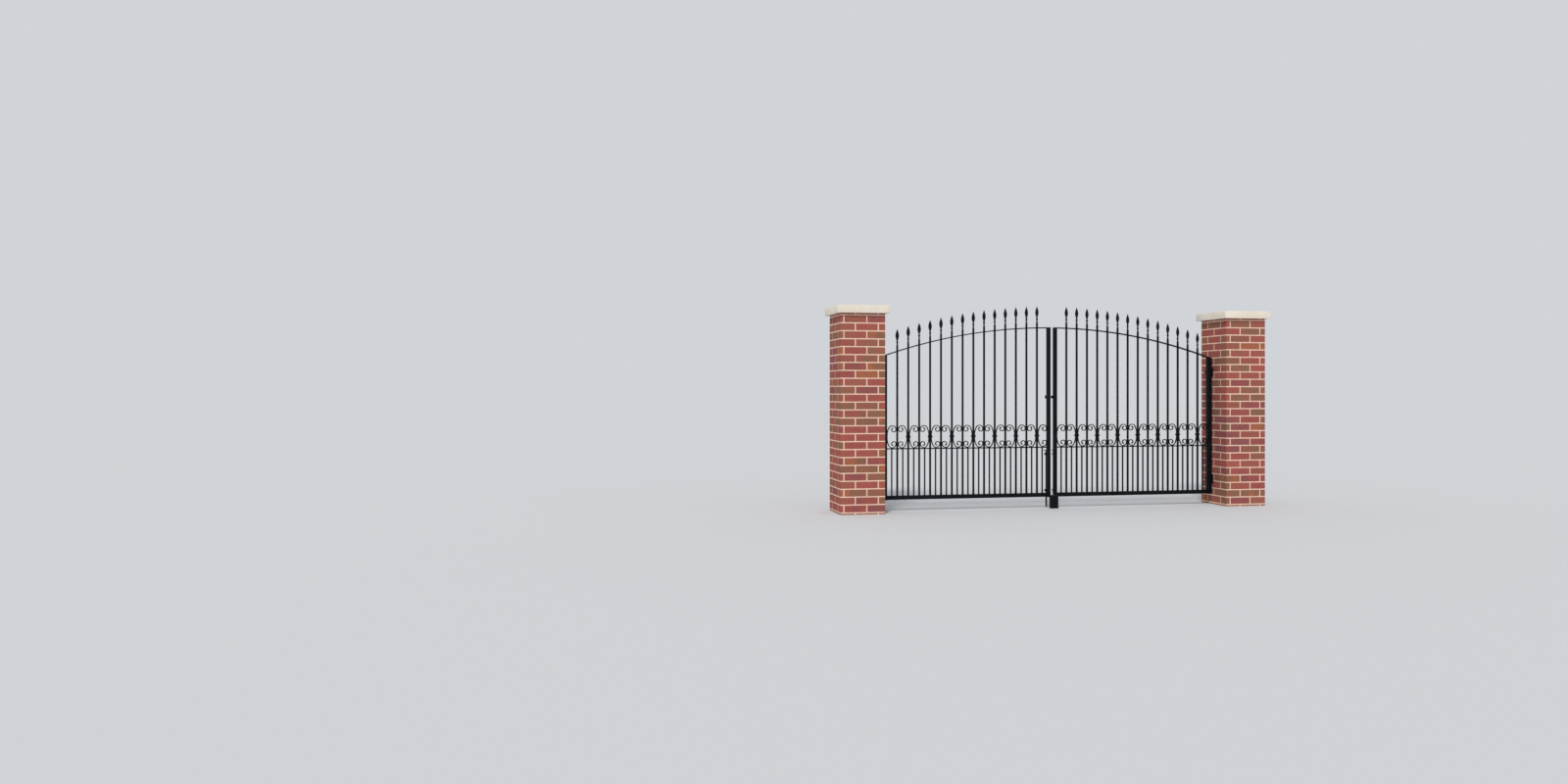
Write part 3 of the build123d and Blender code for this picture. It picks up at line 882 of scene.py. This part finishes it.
def build_anchors(side, bolt_tree, seed):
    """Four bolts that hold each hinge bracket to its pier."""
    way = 1 if side == "left" else -1
    points = bmesh.new()
    for place in ("lower", "upper"):
        low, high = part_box(f"{side}_{place}_hinge_bracket")
        x = (low.x if way == 1 else high.x) + way * bracket_plate
        for y in (low.y + anchor_inset, high.y - anchor_inset):
            for z in (low.z + anchor_inset, high.z - anchor_inset):
                points.verts.new((x, y, z))
    anchor = bpy.data.objects.new("anchor", anchor_mesh(way))
    values = {"Part": anchor, "Spin": math.tau, "Seed": seed, "Finish": finishes["hardware"]}
    anchors = bolt_tree.run(f"{side}_bracket_anchors", mesh_of(points, "anchor_points"), **values)
    bpy.data.objects.remove(anchor)
    dressed(anchors, "piers")


def paint_nodes():
    """Give every carried-over node its finish by its material slot."""
    for subpart in frame["record"]["subparts"]:
        piece = frame["nodes"][subpart["node"]]
        finish = finishes[finish_by_slot[subpart["material_slot"]]]
        for place in piece.material_slots:
            place.material = finish
        if not piece.material_slots:
            piece.data.materials.append(finish)


def lay_floor():
    """A pale round floor."""
    shape = bmesh.new()
    bmesh.ops.create_circle(shape, cap_ends=True, segments=floor_sides, radius=floor_radius)
    floor = bpy.data.objects.new("floor", mesh_of(shape, "floor"))
    bpy.context.scene.collection.objects.link(floor)
    plain = Finish("floor")
    finish = plain.set(Base_Color=rgb(*floor_colour), Roughness=floor_roughness)
    floor.data.materials.append(finish)


def hang_sun():
    """A soft sun from the front and the left."""
    sun = bpy.data.lights.new("sun", "SUN")
    sun.energy = sun_strength
    sun.angle = math.radians(sun_spread)
    lamp = bpy.data.objects.new("sun", sun)
    lamp.rotation_euler = Vector(sun_way).to_track_quat("-Z", "Y").to_euler()
    bpy.context.scene.collection.objects.link(lamp)


def hang_backdrop():
    """An even light from all round, which the camera and the gloss see as a plain pale backdrop."""
    world = bpy.data.worlds.new("backdrop")
    bpy.context.scene.world = world
    world.use_nodes = True
    backdrop = Tree(world.node_tree)
    backdrop.tree.nodes.clear()
    ray = backdrop.node("ShaderNodeLightPath", output="Is Camera Ray")
    glossy = backdrop.node("ShaderNodeLightPath", output="Is Glossy Ray")
    ambient = {"Color": ambient_colour, "Strength": ambient_strength}
    light = backdrop.node("ShaderNodeBackground", {}, ambient)
    shown = backdrop.node("ShaderNodeBackground", {}, {"Color": rgb(*backdrop_colour), "Strength": 1.0})
    seen = backdrop.math("MAXIMUM", ray, glossy)
    mixed = backdrop.node("ShaderNodeMixShader", {}, {0: seen, 1: light, 2: shown})
    backdrop.node("ShaderNodeOutputWorld", {}, {"Surface": mixed})


def place_camera():
    """A level camera at the photograph's viewpoint."""
    lens = bpy.data.cameras.new("camera")
    lens.lens = camera_lens
    lens.sensor_width = camera_sensor
    camera = bpy.data.objects.new("camera", lens)
    camera.location = camera_place
    camera.rotation_euler = (math.pi / 2, 0, -math.radians(camera_turn))
    bpy.context.scene.collection.objects.link(camera)
    bpy.context.scene.camera = camera


finish_by_slot = {
    "brickwork": "brick",
    "cap_stone": "stone",
    "black_ironwork": "iron",
    "black_hardware": "hardware",
}
finishes = {
    "brick": facing_brick(),
    "mortar": lime_mortar(),
    "stone": cast_stone(),
    "iron": black_paint("black_iron_paint", 0.42, 0.35),
    "hardware": black_paint("black_hardware_paint", 0.36, 0.10),
}
edge_by_piece = {
    "hinge_stile": frame_edge, "meeting_stile": frame_edge, "bottom_rail": frame_edge,
    "arched_rail": bar_edge, "mid_rail": bar_edge, "spear_bars": bar_edge, "dog_bars": bar_edge,
    "collars": collar_edge, "drop_bolt_guides": fitting_edge, "drop_bolt": fitting_edge,
    "lower_hinge_bracket": fitting_edge, "upper_hinge_bracket": fitting_edge,
    "lower_hinge_eye": fitting_edge, "upper_hinge_eye": fitting_edge, "pier_cap": stone_edge,
}

lay_floor()
hang_sun()
hang_backdrop()
place_camera()
bpy.context.scene.view_settings.view_transform = "Standard"

paint_nodes()
courses_tree = brick_courses()
block_tree = rough_block()
bead_tree = weld_beads()
bar_tree = flat_bar()
place_tree = set_out()
for seed, side in enumerate(leaves):
    build_pier(side, courses_tree, block_tree, seed * seed_step)
    build_heads(side, place_tree)
    build_scrolls(side, bar_tree, bead_tree)
    build_welds(side, bead_tree)
    build_anchors(side, place_tree, seed)
    for piece, edge in edge_by_piece.items():
        build_softened(f"{side}_{piece}", edge)
for node in ("gate_stop", "latch_bolt", "latch_guide", "latch_keep"):
    build_softened(node, fitting_edge)
